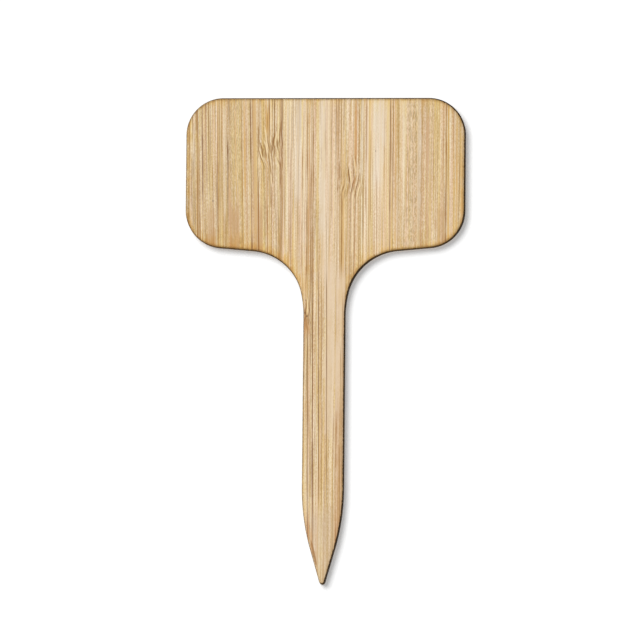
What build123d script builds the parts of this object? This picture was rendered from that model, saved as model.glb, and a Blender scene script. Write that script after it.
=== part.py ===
from build123d import *
from math import cos, pi, radians, sin, tan
import os

os.makedirs("parts", exist_ok=True)

# Plant label stake, laser-cut from a board of side-pressed bamboo.
# The board is a row of upright strips glued edge to edge, so the label is that row of strips.
# Frame: X to the right and Z up the stake, Y through the board with the written face at -Y.
# Z = 0 is the soil line on the stem's middle line, and the point is below it.

# Board
board_thickness = 2.0
glue_thickness = 0.08
edge_ease = 0.2  # small bevel all round, left by tumbling the cut blanks

# Whole label
label_width = 64.0
label_length = 112.0
buried_length = 50.0  # soil line down to the tip

# Blade
blade_side_height = 33.8  # top edge down to where side and underside would meet
top_corner_radius = 8.5
bottom_corner_radius = 8.6
underside_slope = 5.1  # degrees that the underside falls on its way to the stem

# Flare from the underside into the stem: a round arc, then a slack one that meets the stem upright
flare_radius = 12.6
neck_radius = 24.0
neck_lean = 12.2  # degrees off upright between the two arcs
neck_run = 0.2  # straight run between the two arcs

# Stem and point
stem_width = 9.6
point_radius = 52.0  # long arc of the ogive
point_half_angle = 16.0  # degrees off upright beside the tip
tip_radius = 0.7

# Strips, from the left edge of the blade to the right one.
# Each share is a strip's width beside the others, and the three stem strips run on to the point.
strip_names = [
    "left_edge_strip",
    "left_outer_strip",
    "left_middle_strip",
    "left_inner_strip",
    "stem_left_strip",
    "stem_centre_strip",
    "stem_right_strip",
    "right_inner_strip",
    "right_middle_strip",
    "right_outer_strip",
    "right_edge_strip",
]
strip_width_shares = [4.1, 5.7, 6.6, 5.8, 6.8, 5.6, 6.2, 6.2, 6.0, 6.4, 4.6]

cut_overrun = 1.0  # how far a cutting band reaches past the label

# Corners of the outline
half_width = label_width / 2
half_stem = stem_width / 2
top_z = label_length - buried_length
tip_z = -buried_length
side_end_z = top_z - blade_side_height

fall = radians(underside_slope)
lean = radians(neck_lean)
flare_turn = pi / 2 - fall - lean
flare_tangent = flare_radius * tan(flare_turn / 2)
neck_tangent = neck_radius * tan(lean / 2)
neck_length = flare_tangent + neck_run + neck_tangent
flare_x = half_stem + neck_length * sin(lean)
flare_z = side_end_z - (half_width - flare_x) * tan(fall)
neck_z = flare_z - neck_length * cos(lean)

half_angle = radians(point_half_angle)
apex_z = tip_z - (tip_radius / sin(half_angle) - tip_radius)
shoulder_z = apex_z + half_stem / tan(half_angle)

right_corners = [
    (half_width, top_z),
    (half_width, side_end_z),
    (flare_x, flare_z),
    (half_stem, neck_z),
    (half_stem, shoulder_z),
]
right_radii = [
    top_corner_radius,
    bottom_corner_radius,
    flare_radius,
    neck_radius,
    point_radius,
]
left_corners = [(-x, z) for x, z in reversed(right_corners)]
outline_corners = right_corners + [(0, apex_z)] + left_corners
outline_radii = right_radii + [tip_radius] + right_radii[::-1]

# Glued joints between the strips
share_sum = sum(strip_width_shares)
joint_places = []
for count in range(len(strip_names) - 1):
    widths_so_far = sum(strip_width_shares[: count + 1])
    joint_places.append(label_width * widths_so_far / share_sum - half_width)


def cut_from_board(label, left_x, right_x):
    """The stretch of the label between two upright faces, with the eased edge of the cut blank."""
    with BuildPart() as piece:
        with BuildSketch(Plane.XZ):
            with BuildLine():
                FilletPolyline(outline_corners, radius=outline_radii, close=True)
            make_face()
        extrude(amount=board_thickness / 2, both=True)
        rims = piece.faces().filter_by(Axis.Y).edges()
        chamfer(rims, length=edge_ease)
        with BuildSketch(Plane.XZ):
            with Locations(((left_x + right_x) / 2, (top_z + tip_z) / 2)):
                Rectangle(right_x - left_x, label_length + 2 * cut_overrun)
        extrude(amount=board_thickness, both=True, mode=Mode.INTERSECT)
    piece.part.label = label
    export_step(piece.part, f"parts/{label}.step")


# Strips: each one stops half a glue line short of its joints, and the edge strips end at the cut
left_faces = [-half_width - cut_overrun] + [x + glue_thickness / 2 for x in joint_places]
right_faces = [x - glue_thickness / 2 for x in joint_places] + [half_width + cut_overrun]
for name, left_x, right_x in zip(strip_names, left_faces, right_faces):
    cut_from_board(name, left_x, right_x)

# Glue lines, numbered from the left
for number, joint_x in enumerate(joint_places, start=1):
    cut_from_board(
        f"glue_line_{number}", joint_x - glue_thickness / 2, joint_x + glue_thickness / 2
    )
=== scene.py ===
import math

import bmesh
import bpy
import numpy as np
from mathutils import Matrix, Vector
from mathutils.geometry import delaunay_2d_cdt


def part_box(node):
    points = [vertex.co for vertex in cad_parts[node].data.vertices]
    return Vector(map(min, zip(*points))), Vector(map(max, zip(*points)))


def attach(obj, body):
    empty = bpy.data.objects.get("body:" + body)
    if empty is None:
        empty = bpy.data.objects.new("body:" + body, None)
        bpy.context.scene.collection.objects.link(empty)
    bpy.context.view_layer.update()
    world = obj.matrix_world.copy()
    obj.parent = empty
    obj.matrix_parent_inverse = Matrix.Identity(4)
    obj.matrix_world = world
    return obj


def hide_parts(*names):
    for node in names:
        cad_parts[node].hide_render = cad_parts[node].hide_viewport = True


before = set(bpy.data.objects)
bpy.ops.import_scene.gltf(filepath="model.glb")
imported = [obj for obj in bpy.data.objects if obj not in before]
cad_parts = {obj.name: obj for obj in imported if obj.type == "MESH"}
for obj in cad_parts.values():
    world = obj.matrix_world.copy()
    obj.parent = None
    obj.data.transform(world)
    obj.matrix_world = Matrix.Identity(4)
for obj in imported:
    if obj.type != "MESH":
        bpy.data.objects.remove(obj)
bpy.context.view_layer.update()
scene = bpy.context.scene
mm = 0.001
print("frame loaded:", len(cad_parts), "nodes")


# Small helpers

def feed(tree, value, socket):
    if value is None:
        return
    if isinstance(value, bpy.types.NodeSocket):
        tree.links.new(value, socket)
    else:
        socket.default_value = value


def addNode(tree, kind, **settings):
    node = tree.nodes.new(kind)
    for key, value in settings.items():
        setattr(node, key, value)
    return node


def calc(tree, operation, a, b=None, c=None, clamp=False):
    node = addNode(tree, "ShaderNodeMath", operation=operation, use_clamp=clamp)
    for socket, value in zip(node.inputs, (a, b, c)):
        feed(tree, value, socket)
    return node.outputs[0]


def times(tree, value, *factors):
    for factor in factors:
        value = calc(tree, "MULTIPLY", value, factor)
    return value


def vectorCalc(tree, operation, a, b=None):
    node = addNode(tree, "ShaderNodeVectorMath", operation=operation)
    feed(tree, a, node.inputs[0])
    feed(tree, b, node.inputs[1])
    return node.outputs[0]


def splitVector(tree, vector):
    node = addNode(tree, "ShaderNodeSeparateXYZ")
    feed(tree, vector, node.inputs[0])
    return node.outputs


def joinVector(tree, x, y, z):
    node = addNode(tree, "ShaderNodeCombineXYZ")
    for socket, value in zip(node.inputs, (x, y, z)):
        feed(tree, value, socket)
    return node.outputs[0]


def ease(tree, value, low, high, atLow=0.0, atHigh=1.0):
    node = addNode(tree, "ShaderNodeMapRange", interpolation_type="SMOOTHSTEP")
    for socket, given in zip(node.inputs, (value, low, high, atLow, atHigh)):
        feed(tree, given, socket)
    return node.outputs[0]


def blendColour(tree, amount, a, b, way="MIX"):
    node = addNode(tree, "ShaderNodeMix", data_type="RGBA", blend_type=way)
    feed(tree, amount, node.inputs["Factor"])
    feed(tree, a, node.inputs[6])
    feed(tree, b, node.inputs[7])
    return node.outputs[2]


def blendValue(tree, amount, a, b):
    node = addNode(tree, "ShaderNodeMix", data_type="FLOAT")
    feed(tree, amount, node.inputs[0])
    feed(tree, a, node.inputs[2])
    feed(tree, b, node.inputs[3])
    return node.outputs[0]


def placeInMillimetres(tree):
    coordinates = addNode(tree, "ShaderNodeTexCoord").outputs["Object"]
    return vectorCalc(tree, "MULTIPLY", coordinates, (1 / mm, 1 / mm, 1 / mm))


def faceDirection(tree):
    return splitVector(tree, addNode(tree, "ShaderNodeNewGeometry").outputs["True Normal"])


def grainNoise(tree, vector, period, detail=1.0, roughness=0.5):
    stretch = tuple(1 / p for p in period)
    node = addNode(tree, "ShaderNodeTexNoise")
    feed(tree, vectorCalc(tree, "MULTIPLY", vector, stretch), node.inputs["Vector"])
    node.inputs["Scale"].default_value = 1.0
    node.inputs["Detail"].default_value = detail
    node.inputs["Roughness"].default_value = roughness
    return node.outputs[0]


def newGroup(name, inputs, outputs, kind="ShaderNodeTree"):
    tree = bpy.data.node_groups.new(name, kind)
    for socketName, socketKind, value in inputs:
        kindName = "NodeSocket" + socketKind
        socket = tree.interface.new_socket(socketName, in_out="INPUT", socket_type=kindName)
        if value is not None:
            socket.default_value = value
    for socketName, socketKind in outputs:
        kindName = "NodeSocket" + socketKind
        tree.interface.new_socket(socketName, in_out="OUTPUT", socket_type=kindName)
    start = tree.nodes.new("NodeGroupInput")
    end = tree.nodes.new("NodeGroupOutput")
    return tree, start.outputs, end.inputs


def placeGroup(tree, group, **values):
    kind = "GeometryNodeGroup" if tree.bl_idname == "GeometryNodeTree" else "ShaderNodeGroup"
    node = addNode(tree, kind, node_tree=group)
    for name, value in values.items():
        feed(tree, value, node.inputs[name])
    return node


def newMaterial(name):
    material = bpy.data.materials.new(name)
    material.use_nodes = True
    return material, material.node_tree, material.node_tree.nodes["Principled BSDF"]


def addBump(tree, shader, height, settings):
    bump = addNode(tree, "ShaderNodeBump")
    bump.inputs["Strength"].default_value = settings["bump"]
    bump.inputs["Distance"].default_value = settings["bumpDepth"] * mm
    feed(tree, height, bump.inputs["Height"])
    feed(tree, bump.outputs[0], shader.inputs["Normal"])


def newObject(name, data):
    made = bpy.data.objects.new(name, data)
    scene.collection.objects.link(made)
    return made


def rgb(red, green, blue):
    linear = []
    for part in (red, green, blue):
        share = part / 255
        linear.append(share / 12.92 if share <= 0.04045 else ((share + 0.055) / 1.055) ** 2.4)
    return (*linear, 1.0)


# Camera, a little to the right of the label and below it, as the photograph shows it

cameraView = {
    "azimuth": 4.0,
    "elevation": -8.0,
    "distance": 4000.0,
    "aim": (-1.05, 0.0, 10.85),
    "roll": 0.52,
    "focalPixels": 17517.8,
    "framePixels": 640,
    "sensor": 36.0,
    "nearest": 10.0,
}


def makeCamera(view):
    azimuth, elevation = math.radians(view["azimuth"]), math.radians(view["elevation"])
    side = math.cos(elevation)
    away = Vector((math.sin(azimuth) * side, -math.cos(azimuth) * side, math.sin(elevation)))
    rightward = (-away).cross(Vector((0, 0, 1))).normalized()
    upward = rightward.cross(-away)
    roll = math.radians(view["roll"])
    rolledRight = rightward * math.cos(roll) + upward * math.sin(roll)
    rolledUp = upward * math.cos(roll) - rightward * math.sin(roll)
    turn = Matrix((rolledRight, rolledUp, away)).transposed().to_4x4()
    place = (Vector(view["aim"]) + away * view["distance"]) * mm
    lens = bpy.data.cameras.new("photoCamera")
    lens.sensor_width = view["sensor"]
    lens.lens = view["focalPixels"] / view["framePixels"] * view["sensor"]
    lens.clip_start = view["nearest"] * mm
    camera = newObject("photoCamera", lens)
    camera.matrix_world = Matrix.Translation(place) @ turn
    scene.camera = camera


makeCamera(cameraView)
print("camera placed")


# Outline of the label, the same named sizes as the CAD

label = {
    "width": 64.0,
    "length": 112.0,
    "thickness": 2.0,
    "buried": 50.0,
    "sideHeight": 33.8,
    "topRadius": 8.5,
    "bottomRadius": 8.6,
    "undersideSlope": 5.1,
    "flareRadius": 12.6,
    "neckRadius": 24.0,
    "neckLean": 12.2,
    "neckRun": 0.2,
    "stemWidth": 9.6,
    "pointRadius": 52.0,
    "pointHalfAngle": 16.0,
    "tipRadius": 0.7,
}


def outlineCorners(size):
    halfWidth, halfStem = size["width"] / 2, size["stemWidth"] / 2
    topZ, tipZ = size["length"] - size["buried"], -size["buried"]
    sideEnd = topZ - size["sideHeight"]
    fall, lean = math.radians(size["undersideSlope"]), math.radians(size["neckLean"])
    flareRun = size["flareRadius"] * math.tan((math.pi / 2 - fall - lean) / 2)
    neckRun = size["neckRadius"] * math.tan(lean / 2)
    slant = flareRun + size["neckRun"] + neckRun
    flareX = halfStem + slant * math.sin(lean)
    flareZ = sideEnd - (halfWidth - flareX) * math.tan(fall)
    half = math.radians(size["pointHalfAngle"])
    apexZ = tipZ - (size["tipRadius"] / math.sin(half) - size["tipRadius"])
    right = [
        ((halfWidth, topZ), size["topRadius"]),
        ((halfWidth, sideEnd), size["bottomRadius"]),
        ((flareX, flareZ), size["flareRadius"]),
        ((halfStem, flareZ - slant * math.cos(lean)), size["neckRadius"]),
        ((halfStem, apexZ + halfStem / math.tan(half)), size["pointRadius"]),
    ]
    left = [((-x, z), radius) for (x, z), radius in reversed(right)]
    return right + [((0.0, apexZ), size["tipRadius"])] + left


def roundedLoop(corners, spacing):
    loop = []
    for index, (corner, radius) in enumerate(corners):
        here = Vector(corner)
        before = (Vector(corners[index - 1][0]) - here).normalized()
        after = (Vector(corners[(index + 1) % len(corners)][0]) - here).normalized()
        bend = before.angle(after)
        reach = radius / math.tan(bend / 2)
        centre = here + (before + after).normalized() * radius / math.sin(bend / 2)
        first, last = here + before * reach - centre, here + after * reach - centre
        turn = first.angle_signed(last)
        steps = max(3, round(abs(turn) * radius / spacing))
        for step in range(steps + 1):
            loop.append(centre + Matrix.Rotation(-turn * step / steps, 2) @ first)
    filled = []
    for index, point in enumerate(loop):
        following = loop[(index + 1) % len(loop)]
        steps = max(1, round((following - point).length / spacing))
        for step in range(steps):
            filled.append(point.lerp(following, step / steps))
    return np.array([tuple(point) for point in filled])


def inwardNormals(loop):
    along = np.roll(loop, -1, 0) - np.roll(loop, 1, 0)
    along /= np.linalg.norm(along, axis=1)[:, None]
    # the loop runs clockwise as seen from the front, so inward is to its right
    return np.stack([along[:, 1], -along[:, 0]], 1)


def distanceToLoop(points, loop):
    nearest = [np.sqrt(((loop - point) ** 2).sum(1).min()) for point in points]
    return np.array(nearest)


# Blank: the whole label as the laser cuts it, with eased edges

blank = {
    "spacing": 0.25,  # between points along the cut
    "edgeRadius": 0.22,
    "edgeSteps": 4,
    "wallRows": 6,
    "rings": [0.4, 0.65, 1.0, 1.5, 2.1, 3.0],  # distances in from the cut
    "ringSpacing": [0.4, 0.5, 0.6, 0.8, 1.0, 1.2],
    "faceGrid": 1.5,
    "gridGap": 0.7,  # between the last ring and the grid
    "slack": 0.03,  # how much nearer to the cut than its ring a point may be
    "weld": 1e-5,
}

outline = roundedLoop(outlineCorners(label), blank["spacing"])
inward = inwardNormals(outline)


def facePoints(settings):
    scattered = []
    for reach, gap in zip(settings["rings"], settings["ringSpacing"]):
        every = max(1, round(gap / settings["spacing"]))
        ring = (outline + inward * reach)[::every]
        scattered.extend(ring[distanceToLoop(ring, outline) > reach - settings["slack"]])
    halfWidth = label["width"] / 2
    columns = np.arange(-halfWidth, halfWidth, settings["faceGrid"])
    rows = np.arange(-label["buried"], label["length"] - label["buried"], settings["faceGrid"])
    grid = np.array([(x, z) for z in rows for x in columns])
    gridEdge = settings["rings"][-1] + settings["gridGap"]
    inside = insideLoop(grid, outline) & (distanceToLoop(grid, outline) > gridEdge)
    scattered.extend(grid[inside])
    rim = outline + inward * settings["edgeRadius"]
    return rim, np.array(scattered)


def insideLoop(points, loop):
    ahead = np.roll(loop, -1, 0)
    inside = np.zeros(len(points), bool)
    for (x1, z1), (x2, z2) in zip(loop, ahead):
        crosses = (z1 > points[:, 1]) != (z2 > points[:, 1])
        if not crosses.any():
            continue
        meet = x1 + (points[:, 1] - z1) * (x2 - x1) / (z2 - z1)
        inside ^= crosses & (points[:, 0] < meet)
    return inside


def makeBlank(settings):
    half, radius = label["thickness"] / 2, settings["edgeRadius"]
    profile = []
    for step in range(settings["edgeSteps"] + 1):
        angle = math.pi / 2 * step / settings["edgeSteps"]
        profile.append((radius * (1 - math.sin(angle)), -half + radius * (1 - math.cos(angle))))
    wall = half - radius
    for row in range(1, settings["wallRows"]):
        profile.append((0.0, -wall + 2 * wall * row / settings["wallRows"]))
    profile += [(inset, -depth) for inset, depth in reversed(profile[: settings["edgeSteps"] + 1])]

    mesh = bmesh.new()
    rings = []
    for inset, depth in profile:
        ring = outline + inward * inset
        rings.append([mesh.verts.new((x * mm, depth * mm, z * mm)) for x, z in ring])
    count = len(outline)
    for near, far in zip(rings, rings[1:]):
        for index in range(count):
            after = (index + 1) % count
            mesh.faces.new((near[index], near[after], far[after], far[index]))

    rim, scattered = facePoints(settings)
    points = [Vector(point) for point in np.concatenate([rim, scattered])]
    edges = [(index, (index + 1) % count) for index in range(count)]
    made, _, triangles, origins, _, _ = delaunay_2d_cdt(points, edges, [], 1, settings["weld"])
    for ring, depth in ((rings[0], -half), (rings[-1], half)):
        placed = []
        for point, sources in zip(made, origins):
            rimSource = [source for source in sources if source < count]
            if rimSource:
                placed.append(ring[rimSource[0]])
            else:
                placed.append(mesh.verts.new((point.x * mm, depth * mm, point.y * mm)))
        for triangle in triangles:
            corners = [placed[index] for index in triangle]
            if len(set(corners)) == 3:
                mesh.faces.new(corners)
    bmesh.ops.recalc_face_normals(mesh, faces=mesh.faces)
    data = bpy.data.meshes.new("labelBlank")
    mesh.to_mesh(data)
    openEdges = sum(1 for edge in mesh.edges if not edge.is_manifold)
    mesh.free()
    print("blank:", len(data.polygons), "faces,", openEdges, "open edges")
    return data


def makeOutlineGuide():
    data = bpy.data.meshes.new("outlineGuide")
    points = [(x * mm, 0.0, z * mm) for x, z in outline]
    data.from_pydata(points, [(i, (i + 1) % len(points)) for i in range(len(points))], [])
    return newObject("outlineGuide", data)


blankMesh = makeBlank(blank)
outlineGuide = makeOutlineGuide()


# Strip tree: ripples the cut walls as the laser leaves them, then takes one strip out of the blank

strip = {
    "ripple": 0.018,  # depth of the marks on the cut walls
    "ripplePitch": 0.28,
    "seed": 4.0,
    "wallGap": 0.01,  # a point this near the outline is on the wall
    "cutterDepth": 10.0,
    "cutterHeight": 200.0,
    "overrun": 1.0,  # past the label's sides
    "sharpEdge": 42.0,
    "shadedSide": (0.94, 0.0, 0.35),  # the side mostly to the right, away from the key light, where the char is painted wider as shade
}


def addStep(tree, geometry, kind, **settings):
    node = addNode(tree, kind, **settings)
    feed(tree, geometry, node.inputs[0])
    return node


def storeNumber(tree, geometry, name, value):
    stored = addStep(tree, geometry, "GeometryNodeStoreNamedAttribute")
    stored.inputs["Name"].default_value = name
    feed(tree, value, stored.inputs["Value"])
    return stored.outputs[0]


def makeStripTree(settings):
    tree, start, end = newGroup(
        "boardStrip",
        [
            ("Geometry", "Geometry", None),
            ("Outline", "Object", None),
            ("Left Face", "Float", 0.0),
            ("Right Face", "Float", 0.01),
            ("Ripple", "Float", settings["ripple"] * mm),
            ("Ripple Pitch", "Float", settings["ripplePitch"] * mm),
            ("Seed", "Float", settings["seed"]),
            ("Bamboo", "Material", None),
        ],
        [("Geometry", "Geometry")],
        "GeometryNodeTree",
    )
    tree.is_modifier = True
    guide = addNode(tree, "GeometryNodeObjectInfo")
    feed(tree, start["Outline"], guide.inputs["Object"])

    position = addNode(tree, "GeometryNodeInputPosition").outputs[0]
    x, y, z = splitVector(tree, position)
    flat = joinVector(tree, x, 0.0, z)
    near = addNode(tree, "GeometryNodeProximity", target_element="EDGES")
    feed(tree, guide.outputs["Geometry"], near.inputs[0])
    feed(tree, flat, near.inputs["Sample Position"])
    onWall = calc(tree, "LESS_THAN", near.outputs["Distance"], settings["wallGap"] * mm)

    lookup = vectorCalc(tree, "DIVIDE", flat, joinVector(tree, *[start["Ripple Pitch"]] * 3))
    ripple = addNode(tree, "ShaderNodeTexNoise", noise_dimensions="4D")
    feed(tree, lookup, ripple.inputs["Vector"])
    feed(tree, start["Seed"], ripple.inputs["W"])
    ripple.inputs["Scale"].default_value = 1.0
    depth = times(tree, start["Ripple"], -1.0, ripple.outputs[0])
    normal = addNode(tree, "GeometryNodeInputNormal").outputs[0]
    push = addNode(tree, "ShaderNodeVectorMath", operation="SCALE")
    feed(tree, normal, push.inputs[0])
    feed(tree, depth, push.inputs["Scale"])
    rippled = addStep(tree, start["Geometry"], "GeometryNodeSetPosition")
    feed(tree, onWall, rippled.inputs["Selection"])
    feed(tree, push.outputs[0], rippled.inputs["Offset"])

    cutter = addNode(tree, "GeometryNodeMeshCube")
    width = calc(tree, "SUBTRACT", start["Right Face"], start["Left Face"])
    middle = times(tree, calc(tree, "ADD", start["Right Face"], start["Left Face"]), 0.5)
    cutterDepth, cutterHeight = settings["cutterDepth"] * mm, settings["cutterHeight"] * mm
    feed(tree, joinVector(tree, width, cutterDepth, cutterHeight), cutter.inputs["Size"])
    moved = addStep(tree, cutter.outputs["Mesh"], "GeometryNodeTransform")
    feed(tree, joinVector(tree, middle, 0.0, 0.0), moved.inputs["Translation"])
    cut = addNode(tree, "GeometryNodeMeshBoolean", operation="INTERSECT", solver="MANIFOLD")
    feed(tree, rippled.outputs[0], cut.inputs["Mesh 2"])
    feed(tree, moved.outputs[0], cut.inputs["Mesh 2"])
    triangles = addStep(tree, cut.outputs["Mesh"], "GeometryNodeTriangulate")

    distance = calc(tree, "DIVIDE", near.outputs["Distance"], mm)
    measured = storeNumber(tree, triangles.outputs[0], "cutDistance", distance)
    # the side that the nearest cut faces, used to paint the char wider as shade on the right
    toOutline = vectorCalc(tree, "SUBTRACT", near.outputs["Position"], flat)
    side = addNode(tree, "ShaderNodeVectorMath", operation="DOT_PRODUCT")
    feed(tree, vectorCalc(tree, "NORMALIZE", toOutline), side.inputs[0])
    side.inputs[1].default_value = settings["shadedSide"]
    measured = storeNumber(tree, measured, "cutSide", side.outputs["Value"])

    smooth = addStep(tree, measured, "GeometryNodeSetShadeSmooth", domain="FACE")
    smooth.inputs["Shade Smooth"].default_value = True
    corner = addNode(tree, "GeometryNodeInputMeshEdgeAngle").outputs["Unsigned Angle"]
    isCorner = calc(tree, "GREATER_THAN", corner, math.radians(settings["sharpEdge"]))
    sharp = addStep(tree, smooth.outputs[0], "GeometryNodeSetShadeSmooth", domain="EDGE")
    feed(tree, isCorner, sharp.inputs["Selection"])
    sharp.inputs["Shade Smooth"].default_value = False

    realized = addStep(tree, sharp.outputs[0], "GeometryNodeRealizeInstances")
    painted = addStep(tree, realized.outputs[0], "GeometryNodeSetMaterial")
    feed(tree, start["Bamboo"], painted.inputs["Material"])
    feed(tree, painted.outputs[0], end[0])
    return tree


stripTree = makeStripTree(strip)
print("strip tree built")


# Bamboo figure: bands, fibres, brown lines and flecks along the cane, bent where it has a node

figure = {
    "pale": rgb(240, 222, 192),
    "tan": rgb(191, 156, 100),
    "bundle": rgb(178, 140, 86),
    "line": rgb(134, 92, 40),
    "highlight": rgb(241, 225, 196),
    "gold": rgb(218, 182, 112),
    "rosy": rgb(218, 174, 134),
    "streak": rgb(146, 100, 42),
    "fleck": rgb(144, 117, 72),
    "rose": rgb(255, 247, 247),
    "straw": rgb(253, 250, 222),
    "goldShare": 0.7,
    "rosyShare": 0.4,
    "bundleShare": 0.8,
    "streakShare": 0.9,
    "seedSteps": (17.3, 5.9, 131.7),  # from one seed to the next in the noise
    "leanHeight": 45.0,  # the height that a strip's grain leans about
    "stemTone": (34.0, 8.0),  # heights between which the stem's tone sets in
    "swerve": 1.3,
    "sway": 0.8,
    "fineShare": 0.95,
    "broadShare": 0.3,
    "strokeShare": 0.75,
    "fibreRelief": -0.2,
    "lineRelief": -0.3,
    "fleckRelief": -0.5,
}

# A layer's noise: its period across, through and along the board, its detail and roughness,
# and the two noise values that the layer rises between
grainLayers = {
    "bands": ((2.1, 5.0, 120.0), 1.0, 0.5, 0.34, 0.66),
    "broad": ((0.42, 0.9, 46.0), 1.0, 0.5, 0.3, 0.7),
    "fine": ((0.19, 0.6, 26.0), 1.0, 0.6, 0.34, 0.66),
    "strokes": ((0.3, 0.8, 3.0), 1.0, 0.5, 0.34, 0.66),
    "stipple": ((0.17, 0.3, 0.5), 1.0, 0.6, 0.3, 0.7),
    "highlight": ((0.3, 1.1, 30.0), 1.0, 0.5, 0.57, 0.68),
    "gold": ((0.28, 1.3, 52.0), 1.0, 0.5, 0.58, 0.66),
    "rosy": ((0.25, 1.2, 44.0), 1.0, 0.5, 0.57, 0.65),
    "bundle": ((0.5, 1.4, 70.0), 2.0, 0.6, 0.54, 0.64),
    "thin": ((0.16, 0.7, 26.0), 1.0, 0.5, 0.575, 0.64),
    "nodal": ((0.27, 0.9, 5.0), 1.0, 0.5, 0.53, 0.61),
    "dashes": ((0.13, 0.3, 1.2), 1.0, 0.5, 0.48, 0.64),
}


def grainLayer(tree, space, name, atLow=0.0, atHigh=1.0):
    period, detail, roughness, low, high = grainLayers[name]
    noise = grainNoise(tree, space, period, detail, roughness)
    return ease(tree, noise, low, high, atLow, atHigh)


def makeBambooFigure(settings):
    tree, start, end = newGroup(
        "bambooFigure",
        [
            ("Seed", "Float", 0.0),
            ("Tone", "Float", 0.4),
            ("Stem Tone", "Float", 0.0),
            ("Bands", "Float", 0.5),
            ("Fibres", "Float", 0.5),
            ("Lines", "Float", 0.5),
            ("Highlights", "Float", 0.5),
            ("Stipple", "Float", 0.2),
            ("Flecks", "Float", 0.3),
            ("Fleck Across", "Float", 0.0),
            ("Fleck Width", "Float", 3.0),
            ("Lean", "Float", 0.0),
            ("Node Height", "Float", 0.0),
            ("Node Reach", "Float", 4.0),
            ("Node Slant", "Float", 0.0),
            ("Node Bulge", "Float", 0.0),
            ("Node Strength", "Float", 0.0),
        ],
        [("Colour", "Color"), ("Relief", "Float"), ("Fibre Space", "Vector")],
    )
    place = placeInMillimetres(tree)
    shifts = [times(tree, start["Seed"], step) for step in settings["seedSteps"]]
    seedShift = joinVector(tree, *shifts)
    seeded = vectorCalc(tree, "ADD", place, seedShift)
    x, y, z = splitVector(tree, place)

    # the cane's node: fibres swerve round it and break into short slanting strokes
    fromNode = calc(tree, "SUBTRACT", z, start["Node Height"])
    nodeShare = calc(tree, "DIVIDE", fromNode, start["Node Reach"])
    bell = calc(tree, "EXPONENT", times(tree, nodeShare, nodeShare, -1.0))
    nodeMask = times(tree, bell, start["Node Strength"])
    wiggle = calc(tree, "SUBTRACT", grainNoise(tree, seeded, (2.2, 2.0, 3.0)), 0.5)
    fromMiddle = calc(tree, "SUBTRACT", z, settings["leanHeight"])
    warped = calc(tree, "MULTIPLY_ADD", fromMiddle, start["Lean"], x)
    warped = calc(tree, "MULTIPLY_ADD", bell, start["Node Bulge"], warped)
    warped = calc(tree, "MULTIPLY_ADD", times(tree, wiggle, nodeMask), settings["swerve"], warped)
    fibreSpace = joinVector(tree, warped, y, z)
    sway = calc(tree, "SUBTRACT", grainNoise(tree, seeded, (9.0, 6.0, 38.0)), 0.5)
    swayed = calc(tree, "MULTIPLY_ADD", sway, settings["sway"], warped)
    lookup = vectorCalc(tree, "ADD", joinVector(tree, swayed, y, z), seedShift)
    slanted = calc(tree, "MULTIPLY_ADD", fromNode, start["Node Slant"], swayed)
    strokeSpace = vectorCalc(tree, "ADD", joinVector(tree, slanted, y, z), seedShift)

    # tone: bands, fibres and stipple, with strokes in place of the fibres at a node
    bands = grainLayer(tree, lookup, "bands", -1.0)
    broad = grainLayer(tree, lookup, "broad", -1.0)
    fine = grainLayer(tree, lookup, "fine", -1.0)
    strokes = grainLayer(tree, strokeSpace, "strokes", -1.0)
    stipple = grainLayer(tree, lookup, "stipple", -0.5, 0.5)
    broken = calc(tree, "MULTIPLY", nodeMask, settings["strokeShare"], clamp=True)
    fibres = times(tree, broad, settings["broadShare"])
    fibres = calc(tree, "MULTIPLY_ADD", fine, settings["fineShare"], fibres)
    fibres = blendValue(tree, broken, fibres, strokes)
    fibreDepth = times(tree, start["Fibres"], calc(tree, "MULTIPLY_ADD", nodeMask, 0.6, 0.8))
    stemTone = times(tree, ease(tree, z, *settings["stemTone"]), start["Stem Tone"])
    tone = calc(tree, "MULTIPLY_ADD", bands, times(tree, start["Bands"], 0.5), start["Tone"])
    tone = calc(tree, "ADD", tone, stemTone)
    tone = calc(tree, "MULTIPLY_ADD", fibres, fibreDepth, tone)
    tone = calc(tree, "MULTIPLY_ADD", stipple, start["Stipple"], tone, clamp=True)
    colour = blendColour(tree, tone, settings["pale"], settings["tan"])

    # drifts of rose and straw from fibre bundle to fibre bundle
    drift = grainNoise(tree, lookup, (0.46, 3.0, 40.0))
    colour = blendColour(tree, ease(tree, drift, 0.52, 0.64), colour, settings["rose"], "MULTIPLY")
    colour = blendColour(tree, ease(tree, drift, 0.48, 0.36), colour, settings["straw"], "MULTIPLY")

    # threads, brown lines and flecks, painted one over the other
    bright = times(tree, grainLayer(tree, lookup, "highlight"), start["Highlights"])
    golden = times(tree, grainLayer(tree, lookup, "gold"), settings["goldShare"])
    rosy = times(tree, grainLayer(tree, lookup, "rosy"), settings["rosyShare"])
    bundle = times(tree, grainLayer(tree, lookup, "bundle"), start["Lines"])
    thin = times(tree, grainLayer(tree, lookup, "thin"), start["Lines"])
    nodal = calc(tree, "MULTIPLY", grainLayer(tree, strokeSpace, "nodal"), nodeMask, clamp=True)
    off = calc(tree, "ABSOLUTE", calc(tree, "SUBTRACT", warped, start["Fleck Across"]))
    zone = ease(tree, calc(tree, "DIVIDE", off, start["Fleck Width"]), 0.6, 1.1, 1.0, 0.0)
    flecks = times(tree, grainLayer(tree, lookup, "dashes"), zone, start["Flecks"])
    for mask, paint in (
        (bright, "highlight"),
        (golden, "gold"),
        (rosy, "rosy"),
        (times(tree, bundle, settings["bundleShare"]), "bundle"),
        (thin, "line"),
        (times(tree, nodal, settings["streakShare"]), "streak"),
        (flecks, "fleck"),
    ):
        colour = blendColour(tree, mask, colour, settings[paint])

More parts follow.
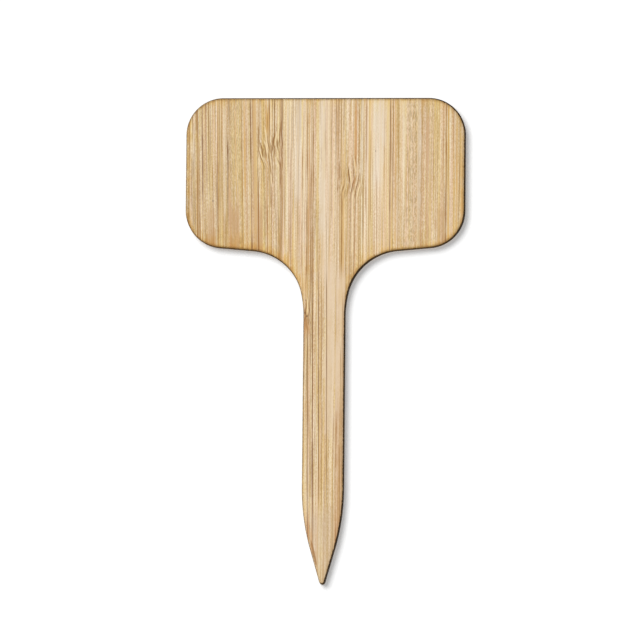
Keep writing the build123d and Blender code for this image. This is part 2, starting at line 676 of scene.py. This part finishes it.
    relief = calc(tree, "MULTIPLY_ADD", fibres, settings["fibreRelief"], 0.5)
    dark = calc(tree, "MAXIMUM", calc(tree, "MAXIMUM", bundle, thin), nodal)
    relief = calc(tree, "MULTIPLY_ADD", dark, settings["lineRelief"], relief)
    relief = calc(tree, "MULTIPLY_ADD", flecks, settings["fleckRelief"], relief)
    feed(tree, colour, end["Colour"])
    feed(tree, relief, end["Relief"])
    feed(tree, fibreSpace, end["Fibre Space"])
    return tree


def makeFibreLine():
    tree, start, end = newGroup(
        "fibreLine",
        [
            ("Fibre Space", "Vector", None),
            ("Across", "Float", 0.0),
            ("Width", "Float", 0.2),
            ("Low", "Float", -60.0),
            ("High", "Float", 70.0),
            ("Strength", "Float", 0.6),
            ("Fade", "Float", 2.5),
            ("Breaks", "Float", 0.3),
            ("Slant", "Float", 0.0),
        ],
        [("Mask", "Float")],
    )
    x, y, z = splitVector(tree, start["Fibre Space"])
    middle = times(tree, calc(tree, "ADD", start["Low"], start["High"]), 0.5)
    fromMiddle = calc(tree, "SUBTRACT", z, middle)
    slid = calc(tree, "MULTIPLY_ADD", fromMiddle, start["Slant"], start["Across"])
    off = calc(tree, "ABSOLUTE", calc(tree, "SUBTRACT", x, slid))
    wander = grainNoise(tree, start["Fibre Space"], (2.0, 3.0, 7.0), 2.0, 0.6)
    half = times(tree, start["Width"], calc(tree, "MULTIPLY_ADD", wander, 0.9, 0.1))
    line = ease(tree, calc(tree, "DIVIDE", off, half), 0.5, 1.0, 1.0, 0.0)
    started = calc(tree, "DIVIDE", calc(tree, "SUBTRACT", z, start["Low"]), start["Fade"])
    ended = calc(tree, "DIVIDE", calc(tree, "SUBTRACT", start["High"], z), start["Fade"])
    broken = times(tree, ease(tree, wander, 0.58, 0.40), start["Breaks"])
    # the lines are fainter on the back
    line = times(tree, line, ease(tree, y, 0.6, -0.6, 0.35, 1.0))
    line = times(tree, line, ease(tree, started, -1.0, 1.0), ease(tree, ended, -1.0, 1.0))
    line = times(tree, line, calc(tree, "SUBTRACT", 1.0, broken), start["Strength"])
    feed(tree, line, end["Mask"])
    return tree


# Laser cut: amber scorch inside the edge, charred wall with marks running through the board

laserCut = {
    "amber": rgb(255, 245, 196),
    "toast": rgb(232, 206, 152),
    "brown": rgb(110, 80, 38),
    "char": rgb(35, 25, 12),
    "charStreak": rgb(84, 61, 35),
    "bladeFrom": (12.0, 24.0),  # heights between which the stem's faint scorch becomes the blade's
    "scorch": (0.3, 1.0),  # on the stem and on the blade
    "brownRim": (0.32, 0.6),  # on the stem and on the blade
    "toastReach": 0.32,  # share of the amber's reach
    "roughness": 0.18,  # how far the char's border wanders
    "shadedSide": 0.2,  # how much wider the char is painted on the shaded side, as painted shade
    "litSide": 0.08,  # and how much narrower it is painted on the lit side
    "underEnds": 0.075,  # and how much narrower under the blade's ends
}


def makeLaserCut(settings):
    tree, start, end = newGroup(
        "laserCut",
        [("Colour", "Color", None), ("Scorch", "Float", 1.0), ("Reach", "Float", 1.9)],
        [("Colour", "Color"), ("Char", "Float"), ("Marks", "Float")],
    )
    distance = addNode(tree, "ShaderNodeAttribute", attribute_name="cutDistance").outputs["Fac"]
    place = placeInMillimetres(tree)
    x, y, z = splitVector(tree, place)
    patches = grainNoise(tree, place, (3.0, 4.0, 3.0), 2.0, 0.6)
    streaky = ease(tree, grainNoise(tree, place, (0.4, 2.0, 8.0)), 0.35, 0.65, 0.45, 1.5)

    # the smoke stains the blade's underside widest, and the stem hardly at all
    underBlade = times(tree, ease(tree, z, 38.0, 27.0), ease(tree, x, 4.0, -6.0, 0.35, 1.0))
    reach = times(tree, start["Reach"], ease(tree, patches, 0.34, 0.68, 0.35, 1.7))
    reach = times(tree, reach, calc(tree, "MULTIPLY_ADD", underBlade, 0.75, 0.45), streaky)
    onBlade = ease(tree, z, *settings["bladeFrom"], *settings["scorch"])
    scorch = times(tree, start["Scorch"], onBlade)
    wide = calc(tree, "EXPONENT", times(tree, calc(tree, "DIVIDE", distance, reach), -1.0))
    toasted = times(tree, reach, -settings["toastReach"])
    near = calc(tree, "EXPONENT", calc(tree, "DIVIDE", distance, toasted))
    colour = start["Colour"]
    for mask, paint in ((wide, "amber"), (near, "toast")):
        colour = blendColour(tree, times(tree, mask, scorch), colour, settings[paint], "MULTIPLY")

    # a brown rim, then the char, whose border wanders; both are painted widest on the right, away
    # from the key light, as painted shade over the real char
    marks = grainNoise(tree, place, (0.16, 2.5, 0.16), 2.0, 0.6)
    rough = calc(tree, "SUBTRACT", grainNoise(tree, place, (0.5, 1.5, 0.5)), 0.5)
    side = addNode(tree, "ShaderNodeAttribute", attribute_name="cutSide").outputs["Fac"]
    edge = calc(tree, "MULTIPLY_ADD", rough, settings["roughness"], distance)
    brown = ease(tree, edge, calc(tree, "MULTIPLY_ADD", side, 0.3, 0.8), 0.1)
    brown = times(tree, brown, ease(tree, z, *settings["bladeFrom"], *settings["brownRim"]))
    colour = blendColour(tree, brown, colour, settings["brown"])
    paintedShade = times(tree, side, settings["shadedSide"])
    clear = times(tree, side, settings["litSide"])
    edge = calc(tree, "SUBTRACT", edge, calc(tree, "MAXIMUM", paintedShade, clear))
    farOut = ease(tree, calc(tree, "ABSOLUTE", x), 9.0, 15.0)
    underEnds = times(tree, ease(tree, z, 33.0, 29.5), farOut)
    edge = calc(tree, "MULTIPLY_ADD", underEnds, settings["underEnds"], edge)
    char = ease(tree, edge, 0.25, 0.08)

    # the wall is painted browner, so lighter, toward the left, the side the key light comes from,
    # as painted light, and is browner where it faces down
    wall = blendColour(tree, ease(tree, marks, 0.4, 0.68), settings["char"], settings["charStreak"])
    wall = blendColour(tree, ease(tree, x, -4.0, -22.0, 0.0, 0.45), wall, settings["brown"])
    upward = faceDirection(tree)[2]
    wall = blendColour(tree, ease(tree, upward, -0.5, -0.95, 0.0, 0.65), wall, settings["brown"])
    feed(tree, blendColour(tree, char, colour, wall), end["Colour"])
    feed(tree, char, end["Char"])
    feed(tree, marks, end["Marks"])
    return tree


figureGroup = makeBambooFigure(figure)
lineGroup = makeFibreLine()
laserGroup = makeLaserCut(laserCut)

lineColours = {
    "dark": rgb(122, 78, 28),
    "brown": rgb(154, 106, 48),
    "stroke": rgb(142, 98, 40),
    "cream": rgb(240, 215, 168),
    "tan": rgb(190, 150, 104),
    "rust": rgb(196, 142, 88),
    "amber": rgb(208, 164, 88),
    "rose": rgb(202, 158, 126),
    "pale": rgb(236, 218, 186),
    "blush": rgb(222, 198, 168),
    "ash": rgb(196, 172, 146),
    "milk": rgb(228, 214, 194),
    "speck": rgb(96, 58, 24),
}
lineEnds = {
    "speck": 0.2,  # length over which a line fades at its ends
    "stroke": 0.7,
    "long": 5.0,
    "longLine": 30.0,  # from this length a line counts as long
}
bambooSurface = {
    "ior": 1.45,
    "specular": 0.4,
    "charSpecular": 0.12,
    "roughness": 0.62,
    "reliefRoughness": -0.12,  # change where the relief is highest
    "charRoughness": 0.82,
    "bump": 0.35,
    "bumpDepth": 0.03,
}


def lineFade(kind, length):
    if kind == "speck":
        return lineEnds["speck"]
    return lineEnds["stroke"] if length < lineEnds["longLine"] else lineEnds["long"]


def makeBambooMaterial(name, look, lines, surface):
    material, tree, shader = newMaterial("bamboo_" + name)
    shader.inputs["IOR"].default_value = surface["ior"]
    grain = placeGroup(tree, figureGroup, **look)
    colour = grain.outputs["Colour"]
    relief = grain.outputs["Relief"]
    for kind, across, width, low, high, strength, *slant in lines:
        line = placeGroup(tree, lineGroup, Across=across, Width=width, Low=low, High=high)
        line.inputs["Strength"].default_value = strength
        if slant or kind == "speck":
            line.inputs["Slant"].default_value = slant[0] if slant else 0.0
            line.inputs["Fade"].default_value = lineFade(kind, high - low)
            line.inputs["Breaks"].default_value = 0.0
        feed(tree, grain.outputs["Fibre Space"], line.inputs["Fibre Space"])
        colour = blendColour(tree, line.outputs["Mask"], colour, lineColours[kind])
    cut = placeGroup(tree, laserGroup, Colour=colour)
    feed(tree, cut.outputs["Colour"], shader.inputs["Base Color"])
    char = cut.outputs["Char"]
    rough = calc(tree, "MULTIPLY_ADD", relief, surface["reliefRoughness"], surface["roughness"])
    rough = blendValue(tree, char, rough, surface["charRoughness"])
    feed(tree, rough, shader.inputs["Roughness"])
    specular = blendValue(tree, char, surface["specular"], surface["charSpecular"])
    feed(tree, specular, shader.inputs["Specular IOR Level"])
    addBump(tree, shader, blendValue(tree, char, relief, cut.outputs["Marks"]), surface)
    return material


# Strips from left to right: what each one changes in the plain look

plainLook = {
    "Stem Tone": 0.0, "Bands": 0.2, "Fibres": 0.42, "Lines": 0.6, "Highlights": 0.45,
    "Stipple": 0.5, "Flecks": 0.12, "Fleck Across": 0.0, "Fleck Width": 60.0, "Lean": 0.0,
    "Node Height": 0.0, "Node Reach": 4.0, "Node Slant": 0.0, "Node Bulge": 0.0,
    "Node Strength": 0.0,
}
stripLooks = {
    "left_edge_strip": {"Seed": 1.0, "Tone": 0.44, "Lines": 0.85, "Flecks": 0.2, "Lean": 0.02},
    "left_outer_strip": {"Seed": 2.0, "Tone": 0.5, "Lines": 0.7, "Flecks": 0.2, "Lean": 0.02},
    "left_middle_strip": {
        "Seed": 3.0, "Tone": 0.6, "Bands": 0.08, "Fibres": 0.16, "Lines": 0.15, "Highlights": 0.1,
        "Stipple": 0.4, "Flecks": 0.4, "Fleck Across": -20.7, "Fleck Width": 2.2, "Lean": 0.022,
    },
    "left_inner_strip": {
        "Seed": 4.0, "Tone": 0.5, "Fibres": 0.5, "Lines": 0.7, "Flecks": 0.2, "Lean": 0.012,
        "Node Height": 49.5, "Node Reach": 4.5, "Node Slant": 0.25, "Node Strength": 0.6,
    },
    "stem_left_strip": {
        "Seed": 5.0, "Tone": 0.23, "Stem Tone": 0.08, "Fibres": 0.34, "Lines": 0.5, "Flecks": 0.1,
        "Node Height": 11.0, "Node Reach": 3.4, "Node Slant": 0.3, "Node Bulge": 0.15,
        "Node Strength": 0.8,
    },
    "stem_centre_strip": {
        "Seed": 6.0, "Tone": 0.32, "Stem Tone": 0.12, "Lines": 0.5, "Flecks": 0.06,
    },
    "stem_right_strip": {
        "Seed": 7.0, "Tone": 0.5, "Stem Tone": 0.04, "Fibres": 0.45, "Lines": 0.55, "Flecks": 0.1,
        "Node Height": 42.5, "Node Slant": -0.15, "Node Strength": 0.5,
    },
    "right_inner_strip": {"Seed": 8.0, "Tone": 0.26, "Lines": 0.4, "Flecks": 0.05},
    "right_middle_strip": {
        "Seed": 9.0, "Tone": 0.49, "Fibres": 0.3, "Lines": 0.3, "Flecks": 0.5,
        "Fleck Across": 19.7, "Fleck Width": 1.5,
    },
    "right_outer_strip": {
        "Seed": 10.0, "Tone": 0.56, "Fibres": 0.3, "Lines": 0.35, "Highlights": 0.2, "Flecks": 0.2,
    },
    "right_edge_strip": {"Seed": 11.0, "Tone": 0.54, "Lines": 0.55, "Flecks": 0.2},
}

# Lines on each strip: colour, place across, width, lowest and highest point, and strength.
# A line with a slant after these runs unbroken.

stripLines = {
    "left_edge_strip": [
        ("dark", -30.35, 0.23, 42, 60, 0.6),
        ("brown", -29.4, 0.22, 20, 62, 0.85),
        ("brown", -28.8, 0.2, 20, 50, 0.75),
        ("dark", -28.15, 0.36, 20, 62, 0.8),
    ],
    "left_outer_strip": [
        ("brown", -25.85, 0.28, 24, 46, 0.85),
        ("brown", -24.65, 0.22, 20, 62, 0.85),
        ("brown", -23.7, 0.19, 50, 62, 0.7),
        ("pale", -23.1, 0.6, 34, 60, 0.5),
        ("dark", -22.4, 0.38, 28, 52, 0.9),
        ("speck", -25.9, 0.42, 38, 38.4, 1.0),
        ("tan", -26.4, 2.4, 24, 37, 0.75),
    ],
    "left_middle_strip": [
        ("rose", -22.0, 0.3, 24, 46, 0.8),
        ("tan", -20.9, 2.4, 24, 37, 0.75),
        ("brown", -19.15, 0.24, 24, 62, 0.75),
        ("amber", -18.5, 0.4, 40, 62, 0.8),
        ("brown", -18.0, 0.17, 26, 56, 0.5),
        ("dark", -17.1, 0.35, 20, 62, 0.8),
        ("brown", -16.6, 0.17, 40, 62, 0.6),
        ("tan", -16.2, 0.8, 22, 62, 0.4),
    ],
    "left_inner_strip": [
        ("tan", -15.3, 1.6, 22, 37, 0.7),
        ("tan", -10.3, 1.1, 22, 50, 0.4),
        ("brown", -15.4, 0.3, 22, 43, 0.95),
        ("brown", -13.4, 0.27, 30, 43.5, 0.75),
        ("brown", -12.35, 0.22, 20, 44, 0.75),
        ("stroke", -12.65, 0.26, 37, 44.6, 0.6, -0.03),
        ("amber", -13.3, 0.7, 53.5, 59, 0.9),
        ("brown", -13.3, 0.34, 54, 58.6, 0.6),
        ("brown", -12.8, 0.28, 54, 62, 0.85),
        ("cream", -12.5, 0.24, 56, 62, 0.7, 0.0),
        ("cream", -13.6, 0.32, 50.4, 55, 0.8, -0.12),
        ("stroke", -13.25, 0.26, 50.2, 53.6, 0.6, -0.12),
        ("stroke", -11.95, 0.32, 49.8, 53.7, 0.85, 0.15),
        ("stroke", -10.4, 0.28, 51.4, 56.7, 0.8, 0.11),
        ("stroke", -12.25, 0.26, 42.4, 48.0, 0.7, -0.03),
        ("stroke", -10.35, 0.28, 42, 47.3, 0.8, 0.0),
        ("dark", -11.65, 0.28, 56, 62, 0.8),
        ("stroke", -11.6, 0.3, 51.5, 56.5, 0.7, -0.05),
        ("brown", -10.3, 0.3, 54, 62, 0.6),
        ("cream", -14.65, 0.35, 47.6, 50.4, 0.8, -0.34),
        ("stroke", -15.3, 0.28, 50, 55.5, 0.8, -0.02),
        ("stroke", -14.85, 0.3, 47.4, 50.4, 0.85, -0.34),
        ("stroke", -14.45, 0.36, 48.5, 51.2, 0.8, -0.27),
        ("cream", -13.45, 0.36, 47, 52.0, 0.9, -0.25),
        ("stroke", -13.75, 0.3, 48.4, 51.4, 0.75, -0.17),
        ("cream", -12.5, 0.3, 42, 47.0, 0.8, -0.03),
        ("stroke", -12.85, 0.3, 44.5, 49.2, 0.8, -0.14),
        ("stroke", -12.4, 0.32, 47.4, 51.4, 0.7, -0.09),
        ("cream", -11.4, 0.34, 51.2, 53.8, 0.8, 0.1),
        ("stroke", -11.75, 0.28, 48.6, 52.8, 0.7, -0.12),
        ("stroke", -10.95, 0.3, 50, 52.2, 0.7, -0.05),
        ("stroke", -10.55, 0.28, 45.6, 47.8, 0.7, -0.3),
        ("brown", -10.5, 0.22, 20, 62, 0.65),
        ("dark", -10.0, 0.29, 20, 62, 0.75),
    ],
    "stem_left_strip": [
        ("brown", -8.0, 0.25, 26, 50, 0.7),
        ("brown", -6.1, 0.2, 22, 62, 0.6),
        ("brown", -5.3, 0.26, 22, 50, 0.75),
        ("rose", -3.6, 8.0, -52, -34, 0.5),
        ("rust", -3.3, 0.6, -43, -36, 0.6),
        ("tan", -4.2, 1.5, 10, 62, 0.2),
        ("milk", -6.3, 1.5, 38, 66, 0.45),
        ("rust", -4.0, 1.5, 7.5, 11.2, 0.65),
        ("brown", -4.2, 0.29, 20, 62, 0.8),
        ("speck", -4.4, 0.45, 12.1, 12.5, 0.85),
        ("speck", -4.2, 0.3, 15.1, 15.4, 0.6),
        ("speck", -3.85, 0.5, 11.4, 11.8, 0.85),
        ("stroke", -4.15, 0.34, 11.9, 15, 0.8, 0.12),
        ("stroke", -3.5, 0.34, 11.6, 15.8, 0.85, -0.08),
        ("cream", -3.8, 0.34, 12.2, 15.6, 0.85, 0.04),
        ("stroke", -4.3, 0.36, 10.2, 11.9, 0.75, 0.25),
        ("stroke", -3.45, 0.3, 9.6, 11.4, 0.7, -0.1),
        ("dark", -3.6, 0.25, -44, 8, 0.7, -0.009),
        ("rust", -3.75, 0.26, 22, 60, 0.65),
        ("brown", -3.25, 0.26, 14, 46, 0.8),
    ],
    "stem_centre_strip": [
        ("blush", 1.2, 2.6, -16, 24, 0.8),
        ("brown", -2.8, 0.27, 18, 62, 0.75),
        ("dark", -2.53, 0.36, -42, 18, 0.84, -0.009),
        ("dark", -1.2, 0.24, -32, 22, 0.82, -0.009),
        ("brown", -0.45, 0.25, -36, 16, 0.6, -0.009),
        ("dark", 0.66, 0.25, -30, 22, 0.75, -0.009),
        ("amber", 1.0, 0.4, 20, 62, 0.5),
        ("brown", 1.4, 0.2, 34, 62, 0.75),
        ("brown", 2.35, 0.28, 44, 62, 0.8),
        ("ash", 0.0, 11.0, -56, -33, 0.45),
        ("rust", -2.55, 0.6, -45, -38, 0.5),
        ("brown", -1.95, 0.55, -45.6, -40.2, 0.8, -0.22),
        ("brown", 2.3, 0.2, -40, -12, 0.7),
        ("blush", 0.2, 2.6, 20, 62, 0.45),
        ("milk", -0.8, 1.5, 30, 66, 0.45),
    ],
    "stem_right_strip": [
        ("brown", 3.0, 0.19, 48, 62, 0.8),
        ("brown", 3.55, 0.2, 50, 62, 0.8),
        ("brown", 3.8, 0.36, 20, 40, 0.75),
        ("stroke", 5.75, 0.28, 20, 39.8, 0.6, 0.0),
        ("stroke", 6.75, 0.28, 20, 39.6, 0.6, 0.02),
        ("rust", 6.9, 0.6, 46, 62, 0.7),
        ("brown", 7.6, 0.2, 46, 60, 0.75),
        ("milk", 8.3, 0.8, 44, 66, 0.6),
        ("brown", 3.1, 0.26, 43.2, 47, 0.8, 0.0),
        ("stroke", 5.3, 0.36, 42.4, 45.8, 1.0, -0.03),
        ("cream", 5.65, 0.34, 42.2, 45.4, 0.8, -0.08),
        ("stroke", 6.35, 0.26, 43.2, 47.8, 0.75, -0.05),
        ("rust", 6.4, 0.5, 41.6, 43.6, 0.7, 0.1),
        ("stroke", 6.05, 0.32, 39.6, 43, 0.85, 0.21),
        ("cream", 6.35, 0.3, 38.6, 41, 0.7, 0.2),
        ("stroke", 7.25, 0.32, 39, 44.4, 0.9, 0.2),
        ("cream", 6.25, 0.3, 26, 40, 0.7, 0.01),
        ("cream", 7.5, 0.34, 38.6, 42.4, 0.8, 0.2),
        ("cream", 6.7, 0.26, 44.8, 48.0, 0.7, -0.14),
        ("stroke", 6.95, 0.24, 46.4, 48.6, 0.6, -0.15),
        ("stroke", 7.55, 0.26, 46.7, 47.8, 0.6, -0.1),
        ("stroke", 4.4, 0.2, 38.4, 40.8, 0.6, 0.1),
        ("stroke", 2.75, 0.26, 40.4, 41.4, 0.6, -0.1),
        ("stroke", 3.25, 0.26, 40.9, 41.7, 0.6, -0.2),
        ("stroke", 4.05, 0.3, 40.2, 41.8, 0.7, 0.1),
        ("cream", 3.65, 0.26, 40.2, 41.8, 0.6, 0.1),
        ("brown", 3.45, 0.22, -44, -16, 0.7),
        ("blush", 3.5, 2.6, -12, 22, 0.8),
        ("tan", 3.9, 2.6, -46, -8, 0.55),
        ("rose", 3.6, 8.0, -52, -34, 0.35),
        ("brown", 2.95, 0.2, -42, -12, 0.75),
        ("brown", 3.8, 0.22, -44, 4, 0.75),
        ("brown", 4.2, 0.22, -46, 16, 0.5),
    ],
    "right_inner_strip": [
        ("brown", 9.25, 0.22, 36, 62, 0.8),
        ("brown", 10.3, 0.26, 34, 53, 0.6),
        ("pale", 12.6, 1.7, 42, 62, 0.15),
        ("milk", 12.2, 3.0, 42, 66, 0.5),
        ("brown", 11.75, 0.19, 24, 44, 0.65),
        ("dark", 14.75, 0.28, 22, 62, 0.75),
        ("speck", 11.4, 0.3, 49.5, 49.9, 0.45),
    ],
    "right_middle_strip": [
        ("brown", 15.4, 0.24, 22, 62, 0.7),
        ("amber", 16.0, 0.45, 28, 62, 0.5),
        ("brown", 16.6, 0.2, 22, 62, 0.45),
        ("brown", 17.1, 0.17, 22, 46, 0.5),
        ("pale", 17.9, 0.9, 38, 62, 0.5),
    ],
    "right_outer_strip": [
        ("brown", 22.0, 0.2, 24, 60, 0.55),
        ("milk", 21.3, 1.3, 24, 66, 0.4),
        ("tan", 26.4, 3.0, 24, 37, 0.65),
        ("rose", 23.3, 0.8, 26, 58, 0.5),
        ("brown", 26.9, 0.2, 24, 62, 0.65),
    ],
    "right_edge_strip": [
        ("brown", 27.6, 0.31, 22, 62, 0.9),
        ("amber", 28.1, 0.4, 28, 62, 0.7),
        ("brown", 29.3, 0.19, 50, 62, 0.6),
        ("amber", 30.0, 0.35, 30, 56, 0.6),
        ("brown", 30.6, 0.19, 26, 60, 0.6),
    ],
}


def makeStrip(name, look, lines):
    low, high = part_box(name)
    material = makeBambooMaterial(name, {**plainLook, **look}, lines, bambooSurface)
    worker = newObject("cutting_" + name, blankMesh)
    modifier = worker.modifiers.new("boardStrip", "NODES")
    modifier.node_group = stripTree
    # a face on the label's own side is moved out, so that the cutter clears the wall there
    overrun = strip["overrun"] * mm
    side = label["width"] / 2 * mm - overrun / 10
    values = {
        "Outline": outlineGuide,
        "Left Face": low.x if low.x > -side else low.x - overrun,
        "Right Face": high.x if high.x < side else high.x + overrun,
        "Bamboo": material,
    }
    for item in stripTree.interface.items_tree:
        if item.item_type == "SOCKET" and item.in_out == "INPUT" and item.name in values:
            modifier[item.identifier] = values[item.name]
    graph = bpy.context.evaluated_depsgraph_get()
    data = bpy.data.meshes.new_from_object(worker.evaluated_get(graph))
    data.name = "wood_" + name
    bpy.data.objects.remove(worker)
    piece = newObject("wood_" + name, data)
    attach(piece, "root")
    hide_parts(name)
    print(" ", name, len(data.polygons), "faces")


for name, look in stripLooks.items():
    makeStrip(name, look, stripLines[name])
bpy.data.objects.remove(outlineGuide)
print("strips cut")


# Glue lines keep their CAD shape

glue = {
    "dark": rgb(124, 84, 38),
    "honey": rgb(188, 144, 84),
    "pale": rgb(214, 182, 134),
    "char": rgb(52, 37, 20),
    "ior": 1.5,
    "specular": 0.25,
    "bump": 0.3,
    "bumpDepth": 0.02,
}
glueKinds = ["honey", "dark", "dark", "honey", "dark", "honey", "honey", "honey", "pale", "dark"]


def makeGlueMaterial(kind, settings):
    material, tree, shader = newMaterial("curedGlue_" + kind)
    shader.inputs["IOR"].default_value = settings["ior"]
    shader.inputs["Specular IOR Level"].default_value = settings["specular"]
    place = placeInMillimetres(tree)
    runs = grainNoise(tree, place, (1.0, 1.0, 9.0), 3.0, 0.6)
    colour = blendColour(tree, ease(tree, runs, 0.38, 0.62), settings[kind], settings["pale"])
    wall = ease(tree, calc(tree, "ABSOLUTE", faceDirection(tree)[1]), 0.95, 0.6)
    colour = blendColour(tree, wall, colour, settings["char"])
    feed(tree, colour, shader.inputs["Base Color"])
    feed(tree, ease(tree, runs, 0.3, 0.7, 0.4, 0.6), shader.inputs["Roughness"])
    addBump(tree, shader, grainNoise(tree, place, (0.3, 0.3, 0.8), 2.0), settings)
    return material


glueMaterials = {kind: makeGlueMaterial(kind, glue) for kind in sorted(set(glueKinds))}
for number, kind in enumerate(glueKinds, start=1):
    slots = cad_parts[f"glue_line_{number}"].material_slots
    slots[0].material = glueMaterials[kind]
print("glue lines finished")


# Stage: a white card just behind the label, soft light from the upper left, a weaker one behind

stage = {
    "cardSize": 500.0,
    "cardDepth": 1.25,
    "cardColour": (0.8, 0.8, 0.8, 1.0),
    "cardGlow": 0.27,
    "skyLight": 0.32,
    "keyLight": 2.7,
    "keyFrom": (-0.45, -1.0, 0.45),
    "keySoftness": 38.0,
    "backLight": 2.4,
    "backFrom": (0.45, 1.0, 0.6),
}


def makeCard(settings):
    half, depth = settings["cardSize"] / 2 * mm, settings["cardDepth"] * mm
    data = bpy.data.meshes.new("whiteCard")
    corners = [(x * half, depth, z * half) for x, z in ((-1, -1), (1, -1), (1, 1), (-1, 1))]
    data.from_pydata(corners, [], [(0, 1, 2, 3)])
    card = newObject("whiteCard", data)
    material, tree, shader = newMaterial("whiteCard")
    tree.nodes.remove(shader)
    paper = addNode(tree, "ShaderNodeBsdfDiffuse")
    paper.inputs["Color"].default_value = settings["cardColour"]
    glow = addNode(tree, "ShaderNodeEmission")
    path = addNode(tree, "ShaderNodeLightPath").outputs
    seen = calc(tree, "MAXIMUM", path["Is Camera Ray"], path["Is Glossy Ray"])
    feed(tree, calc(tree, "MULTIPLY", seen, settings["cardGlow"]), glow.inputs["Strength"])
    lit = addNode(tree, "ShaderNodeAddShader")
    feed(tree, paper.outputs[0], lit.inputs[0])
    feed(tree, glow.outputs[0], lit.inputs[1])
    clear = addNode(tree, "ShaderNodeBsdfTransparent")
    behind = addNode(tree, "ShaderNodeNewGeometry").outputs["Backfacing"]
    unseen = calc(tree, "MAXIMUM", path["Is Shadow Ray"], path["Is Diffuse Ray"])
    through = addNode(tree, "ShaderNodeMixShader")
    feed(tree, calc(tree, "MAXIMUM", behind, unseen), through.inputs[0])
    feed(tree, lit.outputs[0], through.inputs[1])
    feed(tree, clear.outputs[0], through.inputs[2])
    feed(tree, through.outputs[0], tree.nodes["Material Output"].inputs["Surface"])
    data.materials.append(material)


def makeSun(name, comesFrom, energy, softness):
    light = bpy.data.lights.new(name, "SUN")
    light.energy = energy
    light.angle = math.radians(softness)
    lamp = newObject(name, light)
    lamp.rotation_euler = Vector(comesFrom).to_track_quat("Z", "Y").to_euler()


def makeWorld(settings):
    world = bpy.data.worlds.new("studio")
    scene.world = world
    world.use_nodes = True
    tree = world.node_tree
    path = addNode(tree, "ShaderNodeLightPath").outputs
    seen = calc(tree, "MAXIMUM", path["Is Camera Ray"], path["Is Glossy Ray"])
    sky = tree.nodes["Background"]
    sky.inputs["Color"].default_value = (1.0, 1.0, 1.0, 1.0)
    feed(tree, blendValue(tree, seen, settings["skyLight"], 1.0), sky.inputs["Strength"])


makeCard(stage)
makeSun("keyLight", stage["keyFrom"], stage["keyLight"], stage["keySoftness"])
makeSun("backLight", stage["backFrom"], stage["backLight"], stage["keySoftness"])
makeWorld(stage)
scene.view_settings.view_transform = "Standard"
print("stage set")
